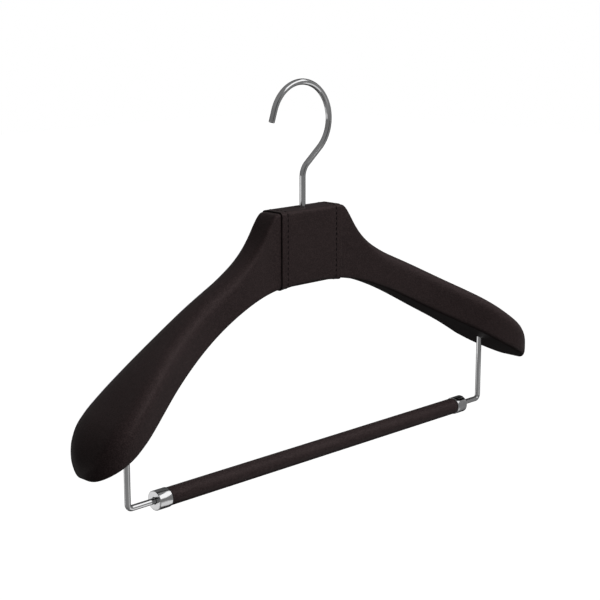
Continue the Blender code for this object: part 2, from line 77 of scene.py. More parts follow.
# Leather-covered body, with the rounding of its edges
HALF_SPAN = 0.225
NECK_HALF_WIDTH = 0.0335
NECK_HEIGHT = 0.0533
NECK_DEPTH = 0.019
NECK_EDGE_ROUND = 0.0026
MID_EDGE_SHARE = 0.25
MID_EDGE_ROUND = 0.0105
SHOULDER_FRONT_ROUND = 0.0124
SHOULDER_BACK_ROUND = 0.027
UNDER_EDGE_ROUND = 0.0032
END_FRONT_UNDER_ROUND = 0.0079
END_BACK_UNDER_ROUND = 0.0176
LEAST_ROUND = 0.0005
MOST_ROUND_SHARE = 0.48

# Places along an arm, as shares of its length from the neck's side to the tip, with the drops below the
# neck's top and the reaches to the front and the back there
TOP_SHARES = (0.0, 0.025, 0.065, 0.118, 0.201, 0.373, 0.582, 0.791, 0.922)
TOP_DROPS = (0.0, 0.0032, 0.0138, 0.0254, 0.0366, 0.0524, 0.0728, 0.0957, 0.1144)
UNDER_SHARES = (0.0, 0.138, 0.295, 0.504, 0.687, 0.843, 0.958)
UNDER_DROPS = (0.0559, 0.0624, 0.0746, 0.0953, 0.114, 0.1318, 0.144)
FRONT_SHARES = (0.0, 0.18, 0.373, 0.582, 0.791, 0.922)
FRONT_REACHES = (NECK_DEPTH / 2, 0.0122, 0.0172, 0.0297, 0.047, 0.054)
BACK_SHARES = (0.0, 0.138, 0.295, 0.504, 0.687, 0.843)
BACK_REACHES = (NECK_DEPTH / 2, 0.0093, 0.0089, 0.0073, 0.0052, 0.0045)

# Rounded shoulder end
END_PLAN_LENGTH = 0.0298
END_TOP_LENGTH = 0.0197
END_UNDER_LENGTH = 0.0067
END_LEVEL_SHARE = 0.2
END_POWER = 2.07
END_UNDER_POWER = 3.36

# Leather skins
COVER_THICKNESS = 0.0012
COVER_EDGE = 0.010
BAND_HALF_WIDTH = 0.031
BAND_THICKNESS = 0.0008
BAND_EDGE_ROUND = 0.00025
BAND_TUCK = 0.0002

# Stitching of the neck band
STITCH_INSET = 0.0058
STITCH_PITCH = 0.0039
STITCH_LENGTH = 0.0027
STITCH_WIDTH = 0.0008
STITCH_HEIGHT = 0.0005
STITCH_SLANT = math.radians(5)
STITCH_LIFT_SHARE = 0.2
STITCH_SINK_SHARE = 0.45
STITCH_TAPER_POWER = 4
STITCH_END_SHARE = 0.02
STITCH_AIM_SHARE = 0.125
GROOVE_WIDTH = 0.0016
GROOVE_DEPTH = 0.00012

# Bracket wires
BRACKET_WIRE_RADIUS = 0.0021
BRACKET_INSET = 0.0394
BRACKET_FORWARD = 0.0012
BRACKET_SEAT = 0.016
BRACKET_BEND_RADIUS = 0.0034
BRACKET_LEG = 0.052
BRACKET_STRAIGHT_ABOVE = 0.02
BRACKET_STRAIGHT_BESIDE = 0.01
BRACKET_END_EDGE = 0.0004
BRACKET_HOLE_GAP = 0.0001

# Trouser bar
BAR_DROP = 0.1784
BAR_SIDE_GAP = 0.0224
BAR_TUBE_RADIUS = 0.0051
BAR_COVER_THICKNESS = 0.001
BAR_COVER_EDGE = 0.0004
FERRULE_RADIUS = 0.0069
FERRULE_LENGTH = 0.011
FERRULE_END_WALL = 0.0015
FERRULE_EDGE = 0.0005
FERRULE_HOLE_EDGE = 0.0003

# Fineness of the meshes
CORNER_STEPS = np.linspace(0, 1, 9)
SIDE_STEPS = 6
SLOPE_STEP = 0.001
NECK_ROWS = 6
FLARE_SHARE = 0.2
FLARE_ROWS = 32
ARM_ROWS = 56
END_ROWS = 36
INNER_ROW_STEP = 3
BAND_MIDDLE_ROWS = 10
BAND_GROOVE_ROWS = 13
BAND_RIM_ROWS = 5
BAND_EDGE_STEPS = 7
BAR_ROWS = 60
BAR_EDGE_STEPS = 5
METAL_EDGE_STEPS = 6
HOOK_ARC_STEP = math.radians(3)
BRACKET_ARC_STEP = math.radians(6)
STITCH_ROWS = 9
STITCH_SIDES = 10
LAST_TURN = math.radians(89.7)
SHARP_ANGLE = math.radians(40)
HOLE_SIDES = 48
WIRE_SIDES = 32
TURN_SIDES = 64

# How far a drill goes past a leather's surface, in thicknesses of the leather
DRILL_REACH = 3

# Colours, as linear red, green and blue
LEATHER_DARK = (0.0095, 0.0067, 0.0068)
LEATHER_LIGHT = (0.0215, 0.0152, 0.0154)
LEATHER_SPECK = (0.0290, 0.0206, 0.0208)
EDGE_PAINT = (0.0050, 0.0038, 0.0038)
THREAD_COLOUR = (0.0010, 0.0008, 0.0008)
CHROME = (0.66, 0.66, 0.665)
CHROME_EDGE = (0.35, 0.35, 0.36)
LEATHER_SHEEN = (1.0, 0.78, 0.76)
STEEL_COLOUR = (0.42, 0.42, 0.43)
BRASS_COLOUR = (0.58, 0.42, 0.17)
BEECH_LIGHT = (0.56, 0.37, 0.22)
BEECH_DARK = (0.42, 0.26, 0.14)
PLYWOOD_LIGHT = (0.62, 0.45, 0.29)
PLYWOOD_DARK = (0.38, 0.24, 0.13)
NYLON_COLOUR = (0.02, 0.02, 0.02)
FLOOR_COLOUR = (0.3, 0.3, 0.3)
WHITE = (1.0, 1.0, 1.0)
BLACK = (0.0, 0.0, 0.0)

# Textures: how many features lie along a metre, and how high the bumps are at full strength
LEATHER_CLOUDS = 28.0
LEATHER_SPECKLES = 1300.0
LEATHER_PEBBLES = 1400.0
LEATHER_CREASES = 260.0
PAINT_GRAINS = 700.0
THREAD_FIBRES = 2600.0
CHROME_LINES = 1500.0
CHROME_HAZE = 120.0
METAL_MARKS = 1800.0
BEECH_GRAINS = 90.0
PLYWOOD_GRAINS = 400.0
PORES_PER_GRAIN = 6
NYLON_MOTTLES = 900.0
PEBBLE_BUMP = 0.00012
CREASE_BUMP = 0.0002
PORE_BUMP = 0.0002
CHROME_BUMP = 0.00005
FINE_BUMP = 0.0001

# How closely a texture is squeezed along X, Y and Z. Below one it is drawn out.
FIBRE_SQUEEZE = (1.0, 0.5, 0.5)
WIRE_LINE_SQUEEZE = (1.0, 1.0, 0.05)
FERRULE_LINE_SQUEEZE = (4.0, 0.3, 0.3)
MARK_SQUEEZE = (1.0, 1.0, 6.0)
BEECH_SQUEEZE = (0.12, 1.0, 1.0)
PLYWOOD_SQUEEZE = (0.1, 0.1, 2.0)

# Sockets of Blender's mix node that hold colours
MIX_FIRST = 6
MIX_SECOND = 7
MIX_RESULT = 2

# The range that most of a noise's values lie in
NOISE_LOW = 0.3
NOISE_HIGH = 0.7

# Gloss: how rough a surface is on average, and the level of its plain reflection
COVER_ROUGHNESS = 0.40
BAR_ROUGHNESS = 0.45
STEEL_ROUGHNESS = 0.36
BRASS_ROUGHNESS = 0.3
FLOOR_ROUGHNESS = 0.9
LEATHER_SPECULAR = 0.075
PAINT_SPECULAR = 0.08
THREAD_SPECULAR = 0.03
FLOOR_SPECULAR = 0.1

# Light
WORLD_STRENGTH = 0.07
FLOOR_GLOW = 1.0
FLOOR_DROP = 3.4
FLOOR_HALF = 30.0

# Point that lamps and glowing panels face, in front of the hook's line and below the neck's top
STAGE_FORWARD = 0.02
STAGE_DROP = 0.08

# Lamps, which light the hanger but show in no reflection: name, azimuth and elevation in degrees,
# distance, width and height, watts
SOFTBOXES = (
    ("key", 38, 37, 3.0, (2.55, 1.95), 72),
    ("front", 0, 30, 3.0, (1.4, 1.2), 40),
    ("top", 60, 75, 3.0, (1.4, 1.4), 40),
    ("back", 178, 10, 3.0, (1.8, 1.6), 36),
)

# Degrees between the points of a glowing panel
PANEL_STEP = 6

# Grey panels bent round the hanger. They glow though they are no lamps, and only reflections show them,
# so they are painted reflections in the chrome and in the leather's gloss. Columns: name, elevations of
# the lower and the upper edge, azimuths along the lower and along the upper edge, distance, brightness
# of the glow
GLOWING_PANELS = (
    ("key_face", (16, 52), (22, 36), (4, 90), 3.0, 1.50),
    ("key_in_floor", (-55, -24), (-4, 80), (26, 46), 3.0, 0.95),
    ("wire_glint", (-24, -15), (0, 40), (0, 40), 3.0, 0.60),
    ("ceiling", (56, 90), (-180, 180), (-180, 180), 3.2, 0.26),
    ("above", (30, 56), (-180, 98), (-180, 98), 3.2, 0.26),
    ("above_back", (30, 56), (98, 138), (98, 138), 3.2, 0.13),
    ("left", (0, 30), (-180, -20), (-180, -20), 3.2, 0.22),
    ("front", (0, 30), (-20, 13), (-20, 13), 3.2, 0.09),
    ("under_key", (0, 30), (13, 62), (13, 62), 3.2, 0.26),
    ("right", (0, 30), (62, 95), (62, 95), 3.2, 0.35),
    ("right_side", (0, 30), (95, 138), (95, 138), 3.2, 0.06),
    ("far_back", (0, 56), (138, 180), (138, 180), 3.2, 0.18),
    ("low_back", (-45, 0), (95, 180), (95, 180), 3.2, 0.04),
    ("waist", (-14, 0), (-98, 95), (-98, 95), 3.2, 0.25),
    ("shank_glint", (-14, 0), (-136, -98), (-136, -98), 3.2, 1.10),
    ("waist_back", (-14, 0), (-180, -136), (-180, -136), 3.2, 0.45),
    ("end_glint", (-27, -11), (-154, -131), (-154, -131), 3.0, 1.05),
    ("low", (-45, -14), (-180, 95), (-180, 95), 3.2, 0.28),
    ("low_glint", (-62, -42), (-180, -155), (-180, -155), 3.0, 0.60),
    ("under", (-90, -45), (-180, 64), (-180, 64), 3.2, 0.19),
    ("under_back", (-90, -45), (64, 180), (64, 180), 3.2, 0.07),
)

# Sizes that follow from the ones above
HOOK_BENDS_APART = math.hypot(HOOK_CROOK_RADIUS + HOOK_NECK_RADIUS, HOOK_BACK_LENGTH)
HOOK_BACK_RISE = math.sqrt(HOOK_BENDS_APART**2 - (HOOK_NECK_RADIUS - HOOK_CROOK_OFFSET) ** 2)
HOOK_CROOK_HEIGHT = HOOK_SHANK_LENGTH + HOOK_BACK_RISE
BAND_TOP = -(HOOK_CROOK_HEIGHT + HOOK_CROOK_RADIUS - HOOK_WIRE_RADIUS)
BAND_PROUD = GAP + BAND_THICKNESS
NECK_TOP = BAND_TOP - BAND_PROUD
POCKET_ROOF = NECK_TOP - COVER_THICKNESS - GAP - BUSH_LENGTH
NUT_TOP = POCKET_ROOF - 2 * GAP - WASHER_THICKNESS
SHANK_BOTTOM = NUT_TOP - NUT_THICKNESS - HOOK_THREAD_END
ARM_LENGTH = HALF_SPAN - NECK_HALF_WIDTH
BRACKET_X = HALF_SPAN - BRACKET_INSET
BAR_HEIGHT = NECK_TOP - BAR_DROP
BAR_HALF_LENGTH = BRACKET_X - BAR_SIDE_GAP
STITCH_X = BAND_HALF_WIDTH - STITCH_INSET
STAGE_MIDDLE = Vector((0.0, -STAGE_FORWARD, NECK_TOP - STAGE_DROP))

# The sign of X on each side
SIDES = {"left": -1, "right": 1}


def smooth_through(stations, values):
    """A cubic curve through the values, level up to the first station and free at the last."""
    stations = np.array(stations)
    values = np.array(values)
    steps = np.diff(stations)
    rises = np.diff(values) / steps
    count = len(stations)
    matrix = np.zeros((count, count))
    right = np.zeros(count)
    matrix[0, 0] = 2 * steps[0]
    matrix[0, 1] = steps[0]
    right[0] = 6 * rises[0]
    matrix[-1, -1] = 1
    for i in range(1, count - 1):
        matrix[i, i - 1] = steps[i - 1]
        matrix[i, i] = 2 * (steps[i - 1] + steps[i])
        matrix[i, i + 1] = steps[i]
        right[i] = 6 * (rises[i] - rises[i - 1])
    bends = np.linalg.solve(matrix, right)

    def value_at(place):
        place = max(place, stations[0])
        i = int(np.clip(np.searchsorted(stations, place) - 1, 0, count - 2))
        before = place - stations[i]
        after = stations[i + 1] - place
        step = steps[i]
        curved = (bends[i] * after**3 + bends[i + 1] * before**3) / (6 * step)
        left = (values[i] / step - bends[i] * step / 6) * after
        return curved + left + (values[i + 1] / step - bends[i + 1] * step / 6) * before

    return value_at


def rounded_quad(corners, rounds):
    """Points round a four-cornered section with rounded corners, and along its sides."""
    points = []
    ends = []
    for i, corner in enumerate(corners):
        to_last = corners[i - 1] - corner
        to_next = corners[(i + 1) % 4] - corner
        length_last = np.linalg.norm(to_last)
        length_next = np.linalg.norm(to_next)
        start = corner + to_last / length_last * min(rounds[i], MOST_ROUND_SHARE * length_last)
        end = corner + to_next / length_next * min(rounds[i], MOST_ROUND_SHARE * length_next)
        ends.append((start, end))
    for i, corner in enumerate(corners):
        start, end = ends[i]
        for t in CORNER_STEPS:
            points.append((1 - t) ** 2 * start + 2 * t * (1 - t) * corner + t * t * end)
        following = ends[(i + 1) % 4][0]
        for t in np.linspace(0, 1, SIDE_STEPS + 1)[1:-1]:
            points.append(end + (following - end) * t)
    return np.array(points)


class Skin:
    """The leather body's outer surface, by its sections across X."""

    def __init__(self):
        self.top = smooth_through(TOP_SHARES, TOP_DROPS)
        self.front = smooth_through(FRONT_SHARES, FRONT_REACHES)
        self.back = smooth_through(BACK_SHARES, BACK_REACHES)
        neck_share = -NECK_HALF_WIDTH / ARM_LENGTH
        self.under = smooth_through((neck_share, *UNDER_SHARES), (NECK_HEIGHT, *UNDER_DROPS))

    def edge_round(self, x, shoulder_round, inset):
        """How far a top edge is rounded at x, growing from the neck to the shoulder."""
        places = (NECK_HALF_WIDTH, NECK_HALF_WIDTH + MID_EDGE_SHARE * ARM_LENGTH, BRACKET_X)
        rounding = np.interp(x, places, (NECK_EDGE_ROUND, MID_EDGE_ROUND, shoulder_round))
        return max(rounding - inset, LEAST_ROUND)

    def under_round(self, x, end_round, inset):
        """How far a bottom edge is rounded at x, growing from the bracket to the tip."""
        rounding = np.interp(x, (BRACKET_X, HALF_SPAN), (UNDER_EDGE_ROUND, end_round))
        return max(rounding - inset, LEAST_ROUND)

    def middle(self, x):
        """The y halfway between front and back at x."""
        share = (x - NECK_HALF_WIDTH) / ARM_LENGTH
        return (self.back(share) - self.front(share)) / 2

    def underside(self, x):
        """The underside's z at x, measured from the top of the neck."""
        return -self.under((x - NECK_HALF_WIDTH) / ARM_LENGTH)

    def section(self, x, inset=0.0):
        """Points (y, z) round the section at x, moved inwards by the inset."""
        share = (x - NECK_HALF_WIDTH) / ARM_LENGTH
        top = -self.top(share) - inset * slant(self.top, share)
        under = self.underside(x) + inset * slant(self.under, share)
        front = -self.front(share) + inset * slant(self.front, share)
        back = self.back(share) - inset * slant(self.back, share)
        corners = [np.array(c) for c in ((front, under), (front, top), (back, top), (back, under))]
        front_round = self.edge_round(x, SHOULDER_FRONT_ROUND, inset)
        back_round = self.edge_round(x, SHOULDER_BACK_ROUND, inset)
        low_front = self.under_round(x, END_FRONT_UNDER_ROUND, inset)
        low_back = self.under_round(x, END_BACK_UNDER_ROUND, inset)
        points = rounded_quad(corners, (low_front, front_round, back_round, low_back))
        middle = (front + back) / 2
        level = under + END_LEVEL_SHARE * (top - under)
        heights = points[:, 1] - level
        top_factor = end_factor(x, inset, END_TOP_LENGTH)
        under_factor = end_factor(x, inset, END_UNDER_LENGTH, END_UNDER_POWER)
        points[:, 0] = middle + (points[:, 0] - middle) * end_factor(x, inset, END_PLAN_LENGTH)
        points[:, 1] = level + heights * np.where(heights > 0, top_factor, under_factor)
        return points


def slant(curve, share):
    """How much longer a curve is than its run along X, which keeps an inset's thickness even."""
    rise = (curve(share + SLOPE_STEP) - curve(share - SLOPE_STEP)) / (2 * SLOPE_STEP * ARM_LENGTH)
    return math.sqrt(1 + rise * rise)


def end_factor(x, inset, length, power=END_POWER):
    """One along the arm, falling to nothing at the tip on a rounded curve."""
    share = np.clip((x - (HALF_SPAN - length)) / (length - inset), 0, 1)
    return max(1 - share**power, 0) ** (1 / power)


def skin_ring(skin, x, inset):
    """A ring of points on the leather body's surface at x, or under it by the inset."""
    return np.array([(x, y, NECK_TOP + z) for y, z in skin.section(abs(x), inset)])


def ring_faces(first, second, count):
    """Faces between two rings, by the numbers of their first points."""
    return [
        (first + i, first + (i + 1) % count, second + (i + 1) % count, second + i)
        for i in range(count)
    ]


def mesh_from_rings(name, rings, closed_chain=False):
    """A smooth mesh through rings of points, capped at both ends or closed on itself."""
    count = len(rings[0])
    faces = []
    for i in range(len(rings) - 1):
        faces += ring_faces(i * count, (i + 1) * count, count)
    last = (len(rings) - 1) * count
    if closed_chain:
        faces += ring_faces(last, 0, count)
    else:
        faces.append(tuple(reversed(range(count))))
        faces.append(tuple(range(last, last + count)))
    mesh = bpy.data.meshes.new(name)
    mesh.from_pydata([tuple(map(float, point)) for point in np.concatenate(rings)], [], faces)
    face_outwards(mesh)
    mesh.shade_smooth()
    mesh.set_sharp_from_angle(angle=SHARP_ANGLE)
    return mesh


def face_outwards(mesh):
    """Turns all the faces over if the closed mesh is inside out."""
    points = np.array([v.co for v in mesh.vertices])
    volume = 0.0
    for face in mesh.polygons:
        corners = points[list(face.vertices)]
        for i in range(1, len(corners) - 1):
            volume += np.dot(corners[0], np.cross(corners[i], corners[i + 1]))
    if volume < 0:
        mesh.flip_normals()


def add_object(name, data):
    """An object with the given data, put into the scene."""
    thing = bpy.data.objects.new(name, data)
    bpy.context.scene.collection.objects.link(thing)
    return thing


def add_piece(name, mesh, body, material, slot, *nodes):
    """A piece that rides on a body and stands for CAD nodes, which it hides. The slot argument is not
    used.
    """
    piece = add_object(name, mesh)
    piece.data.materials.append(material)
    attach(piece, body)
    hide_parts(*nodes)
    return piece


def quarter_turn(steps):
    """Evenly spaced angles through a quarter turn."""
    return np.linspace(0, math.pi / 2, steps)


def turned_rings(profile, place):
    """Rings round a line along X through a place, from a profile of (x, radius) points."""
    angles = np.linspace(0, 2 * math.pi, TURN_SIDES, endpoint=False)
    rings = []
    for x, radius in profile:
        ring = [(x, place[1] + radius * math.cos(a), place[2] + radius * math.sin(a)) for a in angles]
        rings.append(np.array(ring))
    return rings


def sweep_rings(points, radii):
    """Rings of the given radii across a line of points, without twist."""
    points = [Vector(p) for p in points]
    rings = []
    across = None
    for i, point in enumerate(points):
        before = points[max(i - 1, 0)]
        after = points[min(i + 1, len(points) - 1)]
        along = (after - before).normalized()
        if across is None:
            across = along.orthogonal().normalized()
        across = (across - along * across.dot(along)).normalized()
        beside = along.cross(across)
        ring = []
        for k in range(WIRE_SIDES):
            a = 2 * math.pi * k / WIRE_SIDES
            ring.append(point + (across * math.cos(a) + beside * math.sin(a)) * radii[i])
        rings.append(np.array([tuple(p) for p in ring]))
    return rings


def wire_mesh(name, points, radius, edge):
    """A round wire whose two ends are eased by the given edge."""
    points = [np.array(p, float) for p in points]
    first = (points[1] - points[0]) / np.linalg.norm(points[1] - points[0])
    last = (points[-1] - points[-2]) / np.linalg.norm(points[-1] - points[-2])
    line = list(points[1:-1])
    radii = [radius] * len(line)
    for a in quarter_turn(METAL_EDGE_STEPS):
        back = edge * (1 - math.sin(a))
        thin = radius - edge * (1 - math.cos(a))
        line.insert(0, points[0] + first * back)
        radii.insert(0, thin)
        line.append(points[-1] - last * back)
        radii.append(thin)
    return mesh_from_rings(name, sweep_rings(line, radii))


def arc_points(centre, radius, start, end, step):
    """Points (x, z) along an arc, the first one left out."""
    count = max(2, math.ceil(abs(end - start) / step))
    angles = np.linspace(start, end, count + 1)[1:]
    return [(centre[0] + radius * math.cos(a), centre[1] + radius * math.sin(a)) for a in angles]


def hook_line():
    """Centre line of the hook from its threaded end up, as (x, z) points from the band's top."""
    crook = np.array((HOOK_CROOK_OFFSET, HOOK_CROOK_HEIGHT))
    bend = np.array((HOOK_NECK_RADIUS, HOOK_SHANK_LENGTH))
    between = crook - bend
    heading = math.atan2(between[1], between[0])
    lean = heading + math.atan2(HOOK_BACK_LENGTH, HOOK_NECK_RADIUS + HOOK_CROOK_RADIUS)
    shank_heights = (SHANK_BOTTOM - BAND_TOP, 0.0, HOOK_SHANK_LENGTH / 2, HOOK_SHANK_LENGTH)
    line = [(0.0, height) for height in shank_heights]
    line += arc_points(bend, HOOK_NECK_RADIUS, math.pi, lean, HOOK_ARC_STEP)
    crook_start = lean - math.pi
    joining = crook + HOOK_CROOK_RADIUS * np.array((math.cos(crook_start), math.sin(crook_start)))
    line += [tuple((np.array(line[-1]) + joining) / 2), tuple(joining)]
    line += arc_points(crook, HOOK_CROOK_RADIUS, crook_start, HOOK_TIP_ANGLE, HOOK_ARC_STEP)
    arc_end = np.array(line[-1])
    onwards = np.array((-math.sin(HOOK_TIP_ANGLE), math.cos(HOOK_TIP_ANGLE)))
    for run in (HOOK_TIP_START, HOOK_TIP_RUN / 2, HOOK_TIP_RUN):
        line.append(tuple(arc_end + run * onwards))
    return line


def new_material(name):
    """A new material with its node tree and its shader."""
    material = bpy.data.materials.new(name)
    material.use_nodes = True
    tree = material.node_tree
    return material, tree, tree.nodes["Principled BSDF"]


def add_node(tree, kind, **settings):
    """A shader node with the given settings."""
    node = tree.nodes.new(kind)
    for key, value in settings.items():
        setattr(node, key, value)
    return node


def place_in_object(tree):
    """Position on the piece itself, which moves with it."""
    return add_node(tree, "ShaderNodeTexCoord").outputs["Object"]


def noise(tree, place, scale, detail=3.0, roughness=0.5, squeeze=None):
    """A noise value, with features of about 1 / scale metres."""
    if squeeze is not None:
        mapping = add_node(tree, "ShaderNodeMapping")
        mapping.inputs["Scale"].default_value = squeeze
        tree.links.new(place, mapping.inputs["Vector"])
        place = mapping.outputs["Vector"]
    node = add_node(tree, "ShaderNodeTexNoise")
    node.inputs["Scale"].default_value = scale
    node.inputs["Detail"].default_value = detail
    node.inputs["Roughness"].default_value = roughness
    tree.links.new(place, node.inputs["Vector"])
    return node.outputs["Fac"]


def cells(tree, place, scale, smoothness):
    """Pebbled cells of about 1 / scale metres."""
    node = add_node(tree, "ShaderNodeTexVoronoi", feature="SMOOTH_F1")
    node.inputs["Scale"].default_value = scale
    node.inputs["Smoothness"].default_value = smoothness
    tree.links.new(place, node.inputs["Vector"])
    return node.outputs["Distance"]


def ranged(tree, value, from_low, from_high, to_low, to_high):
    """The value mapped from one range to another, held at its ends."""
    node = add_node(tree, "ShaderNodeMapRange")
    node.inputs["From Min"].default_value = from_low
    node.inputs["From Max"].default_value = from_high
    node.inputs["To Min"].default_value = to_low
    node.inputs["To Max"].default_value = to_high
    tree.links.new(value, node.inputs["Value"])
    return node.outputs["Result"]


def spread(tree, value, low, high):
    """A noise's usual values mapped to the range from low to high."""
    return ranged(tree, value, NOISE_LOW, NOISE_HIGH, low, high)


def shaded(colour, factor):
    """The colour times a factor."""
    return tuple(part * factor for part in colour)


def mixed_colour(tree, factor, first, second):
    """A colour between two, by a factor. Each colour is a tuple or a node's output."""
    node = add_node(tree, "ShaderNodeMix", data_type="RGBA")
    tree.links.new(factor, node.inputs["Factor"])
    for number, colour in ((MIX_FIRST, first), (MIX_SECOND, second)):
        if isinstance(colour, tuple):
            node.inputs[number].default_value = (*colour, 1.0)
        else:
            tree.links.new(colour, node.inputs[number])
    return node.outputs[MIX_RESULT]


def bumped(tree, height, distance, strength, under=None):
    """A bumped normal, on top of another one where that is given."""
    node = add_node(tree, "ShaderNodeBump")
    node.inputs["Strength"].default_value = strength
    node.inputs["Distance"].default_value = distance
    tree.links.new(height, node.inputs["Height"])
    if under is not None:
        tree.links.new(under, node.inputs["Normal"])
    return node.outputs["Normal"]


def leather_material(name, roughness):
    """Dark pebbled leather, a little uneven in colour and gloss."""
    material, tree, shader = new_material(name)
    place = place_in_object(tree)
    clouds = noise(tree, place, LEATHER_CLOUDS, detail=4.0, roughness=0.55)
    speckle = noise(tree, place, LEATHER_SPECKLES, detail=1.0, roughness=0.6)
    pebbles = cells(tree, place, LEATHER_PEBBLES, smoothness=0.35)
    tone = spread(tree, clouds, low=0.25, high=0.6)
    base = mixed_colour(tree, tone, LEATHER_DARK, LEATHER_LIGHT)
    specks = ranged(tree, speckle, from_low=0.4, from_high=0.65, to_low=0.0, to_high=0.9)
    colour = mixed_colour(tree, specks, base, LEATHER_SPECK)
    tree.links.new(colour, shader.inputs["Base Color"])
    gloss = spread(tree, speckle, low=roughness - 0.03, high=roughness + 0.04)
    tree.links.new(gloss, shader.inputs["Roughness"])
    pebbled = bumped(tree, pebbles, PEBBLE_BUMP, strength=0.2)
    creases = noise(tree, place, LEATHER_CREASES, roughness=0.6)
    creased = bumped(tree, creases, CREASE_BUMP, strength=0.03, under=pebbled)
    tree.links.new(creased, shader.inputs["Normal"])
    shader.inputs["Specular IOR Level"].default_value = LEATHER_SPECULAR
    shader.inputs["Specular Tint"].default_value = (*LEATHER_SHEEN, 1.0)
    return material


def edge_paint_material():
    """The painted cut edge of the leather."""
    material, tree, shader = new_material("edge_paint")
    place = place_in_object(tree)
    grain = noise(tree, place, PAINT_GRAINS, detail=2.0)
    colour = mixed_colour(tree, grain, EDGE_PAINT, LEATHER_DARK)
    tree.links.new(colour, shader.inputs["Base Color"])
    tree.links.new(spread(tree, grain, low=0.4, high=0.55), shader.inputs["Roughness"])
    tree.links.new(bumped(tree, grain, FINE_BUMP, strength=0.2), shader.inputs["Normal"])
    shader.inputs["Specular IOR Level"].default_value = PAINT_SPECULAR
    return material


def thread_material():
    """Twisted sewing thread."""
    material, tree, shader = new_material("thread")
    place = place_in_object(tree)
    fibres = noise(tree, place, THREAD_FIBRES, detail=2.0, squeeze=FIBRE_SQUEEZE)
    colour = mixed_colour(tree, fibres, THREAD_COLOUR, shaded(THREAD_COLOUR, 3))
    tree.links.new(colour, shader.inputs["Base Color"])
    tree.links.new(spread(tree, fibres, low=0.55, high=0.75), shader.inputs["Roughness"])
    tree.links.new(bumped(tree, fibres, FINE_BUMP, strength=0.5), shader.inputs["Normal"])
    shader.inputs["Specular IOR Level"].default_value = THREAD_SPECULAR
    return material


def chrome_material(name, squeeze):
    """Polished chrome with faint lines along the axes of the smallest squeeze."""
    material, tree, shader = new_material(name)
    place = place_in_object(tree)
    lines = noise(tree, place, CHROME_LINES, detail=2.0, roughness=0.6, squeeze=squeeze)
    haze = noise(tree, place, CHROME_HAZE)
    tint = mixed_colour(tree, haze, CHROME, shaded(CHROME, 0.9))
    tree.links.new(tint, shader.inputs["Base Color"])
    tree.links.new(spread(tree, haze, low=0.09, high=0.15), shader.inputs["Roughness"])
    tree.links.new(bumped(tree, lines, CHROME_BUMP, strength=0.006), shader.inputs["Normal"])
    shader.inputs["Metallic"].default_value = 1.0
    shader.inputs["Specular Tint"].default_value = (*CHROME_EDGE, 1.0)
    return material


def metal_material(name, colour, roughness):
    """Plain metal with fine marks that run level."""
    material, tree, shader = new_material(name)
    place = place_in_object(tree)
    marks = noise(tree, place, METAL_MARKS, detail=2.0, roughness=0.6, squeeze=MARK_SQUEEZE)
    marked = mixed_colour(tree, marks, colour, shaded(colour, 0.75))
    tree.links.new(marked, shader.inputs["Base Color"])
    gloss = spread(tree, marks, low=roughness - 0.06, high=roughness + 0.08)
    tree.links.new(gloss, shader.inputs["Roughness"])
    tree.links.new(bumped(tree, marks, FINE_BUMP, strength=0.1), shader.inputs["Normal"])
    shader.inputs["Metallic"].default_value = 1.0
    return material


def wood_material(name, light, dark, scale, squeeze):
    """Bare wood with its grain along the axes of the smallest squeeze."""
    material, tree, shader = new_material(name)
    place = place_in_object(tree)
    grain = noise(tree, place, scale, detail=5.0, roughness=0.6, squeeze=squeeze)
    pores = noise(tree, place, scale * PORES_PER_GRAIN, detail=2.0, roughness=0.6, squeeze=squeeze)
    base = mixed_colour(tree, spread(tree, grain, low=0.0, high=1.0), light, dark)
    pored = ranged(tree, pores, from_low=0.55, from_high=0.75, to_low=0.0, to_high=0.5)
    colour = mixed_colour(tree, pored, base, dark)
    tree.links.new(colour, shader.inputs["Base Color"])
    tree.links.new(spread(tree, pores, low=0.55, high=0.75), shader.inputs["Roughness"])
    tree.links.new(bumped(tree, pores, PORE_BUMP, strength=0.2), shader.inputs["Normal"])
    return material


def nylon_material():
    """Black moulded nylon."""
    material, tree, shader = new_material("nylon")
    place = place_in_object(tree)
    mottle = noise(tree, place, NYLON_MOTTLES, detail=2.0)
    mottled = mixed_colour(tree, mottle, NYLON_COLOUR, shaded(NYLON_COLOUR, 1.6))
    tree.links.new(mottled, shader.inputs["Base Color"])
    tree.links.new(spread(tree, mottle, low=0.4, high=0.55), shader.inputs["Roughness"])
    tree.links.new(bumped(tree, mottle, FINE_BUMP, strength=0.1), shader.inputs["Normal"])
    return material


def make_hook(chrome):
    """The hook in one piece, turned a little about its shank as in the photograph."""
    turn = Matrix.Rotation(HOOK_TURN, 3, "Z")
    points = [tuple(turn @ Vector((x, 0.0, BAND_TOP + z))) for x, z in hook_line()]
    mesh = wire_mesh("hook_polished", points, HOOK_WIRE_RADIUS, HOOK_END_EDGE)
    add_piece("hook_polished", mesh, "hook", chrome, "chrome", "hook_wire")


def cut_hole(piece, radius, low, high, x, y):
    """Cuts an upright round hole into a piece, from one height to another."""
    work = bmesh.new()
    bmesh.ops.create_cone(
        work, cap_ends=True, segments=HOLE_SIDES, radius1=radius, radius2=radius, depth=high - low
    )
    mesh = bpy.data.meshes.new("drill")
    work.to_mesh(mesh)
    work.free()
    drill = add_object("drill", mesh)
    drill.location = (x, y, (low + high) / 2)
    boolean = piece.modifiers.new("hole", "BOOLEAN")
    boolean.operation = "DIFFERENCE"
    boolean.solver = "EXACT"
    boolean.object = drill
    drilled = piece.evaluated_get(bpy.context.evaluated_depsgraph_get())
    cut_mesh = bpy.data.meshes.new_from_object(drilled)
    piece.modifiers.clear()
    piece.data = cut_mesh
    cut_mesh.set_sharp_from_angle(angle=SHARP_ANGLE)
    bpy.data.objects.remove(drill)


